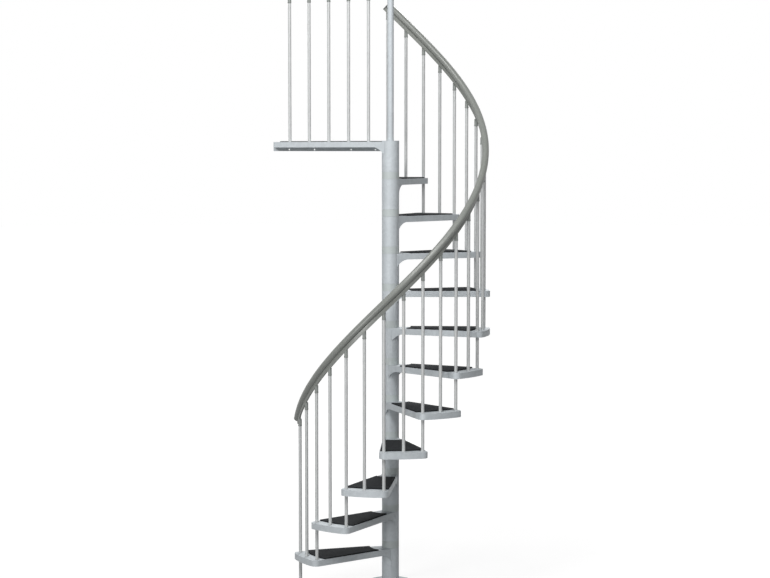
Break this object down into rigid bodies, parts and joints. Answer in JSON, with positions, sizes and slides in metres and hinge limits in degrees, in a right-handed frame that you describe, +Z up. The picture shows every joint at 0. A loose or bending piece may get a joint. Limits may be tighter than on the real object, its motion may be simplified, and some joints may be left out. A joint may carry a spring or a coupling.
{
  "type": "spiral staircase",
  "caption": "Outdoor spiral staircase: wedge treads on a centre column, tube balusters with a helical handrail, and a wedge landing that bolts to a wall.",
  "frame": {"origin": "on the column axis at floor level, on the base plate's underside", "axes": "+Z up the column, +Y square to the wall plate and pointing at the wall, the flight climbing anticlockwise seen from above"},
  "size_m": [1.25, 1.3076, 3.777],
  "materials": {
    "galvanised_steel": "hot-dip galvanised, satin",
    "composite_board": "anthracite wood-composite, matte",
    "grey_plastic": "moulded, matte",
    "grey_pvc": "extruded, satin"
  },
  "bodies": {
    "root": {"base_plate": "galvanised_steel", "centre_pole": "galvanised_steel", "column_spacers": "grey_plastic", "post_cap": "grey_plastic", "tread_01": "galvanised_steel", "tread_02": "galvanised_steel", "tread_03": "galvanised_steel", "tread_04": "galvanised_steel", "tread_05": "galvanised_steel", "tread_06": "galvanised_steel", "tread_07": "galvanised_steel", "tread_08": "galvanised_steel", "tread_09": "galvanised_steel", "tread_10": "galvanised_steel", "tread_11": "galvanised_steel", "tread_board_01": "composite_board", "tread_board_02": "composite_board", "tread_board_03": "composite_board", "tread_board_04": "composite_board", "tread_board_05": "composite_board", "tread_board_06": "composite_board", "tread_board_07": "composite_board", "tread_board_08": "composite_board", "tread_board_09": "composite_board", "tread_board_10": "composite_board", "tread_board_11": "composite_board", "landing_frame": "galvanised_steel", "landing_planks": "composite_board", "corner_balusters": "galvanised_steel", "middle_balusters": "galvanised_steel", "first_baluster_foot": "grey_plastic", "baluster_caps": "grey_plastic", "handrail": "grey_pvc", "handrail_end_caps": "grey_plastic", "landing_balusters": "galvanised_steel", "landing_baluster_caps": "grey_plastic", "landing_handrail": "grey_pvc", "landing_handrail_end_caps": "grey_plastic"}
  },
  "joints": []
}
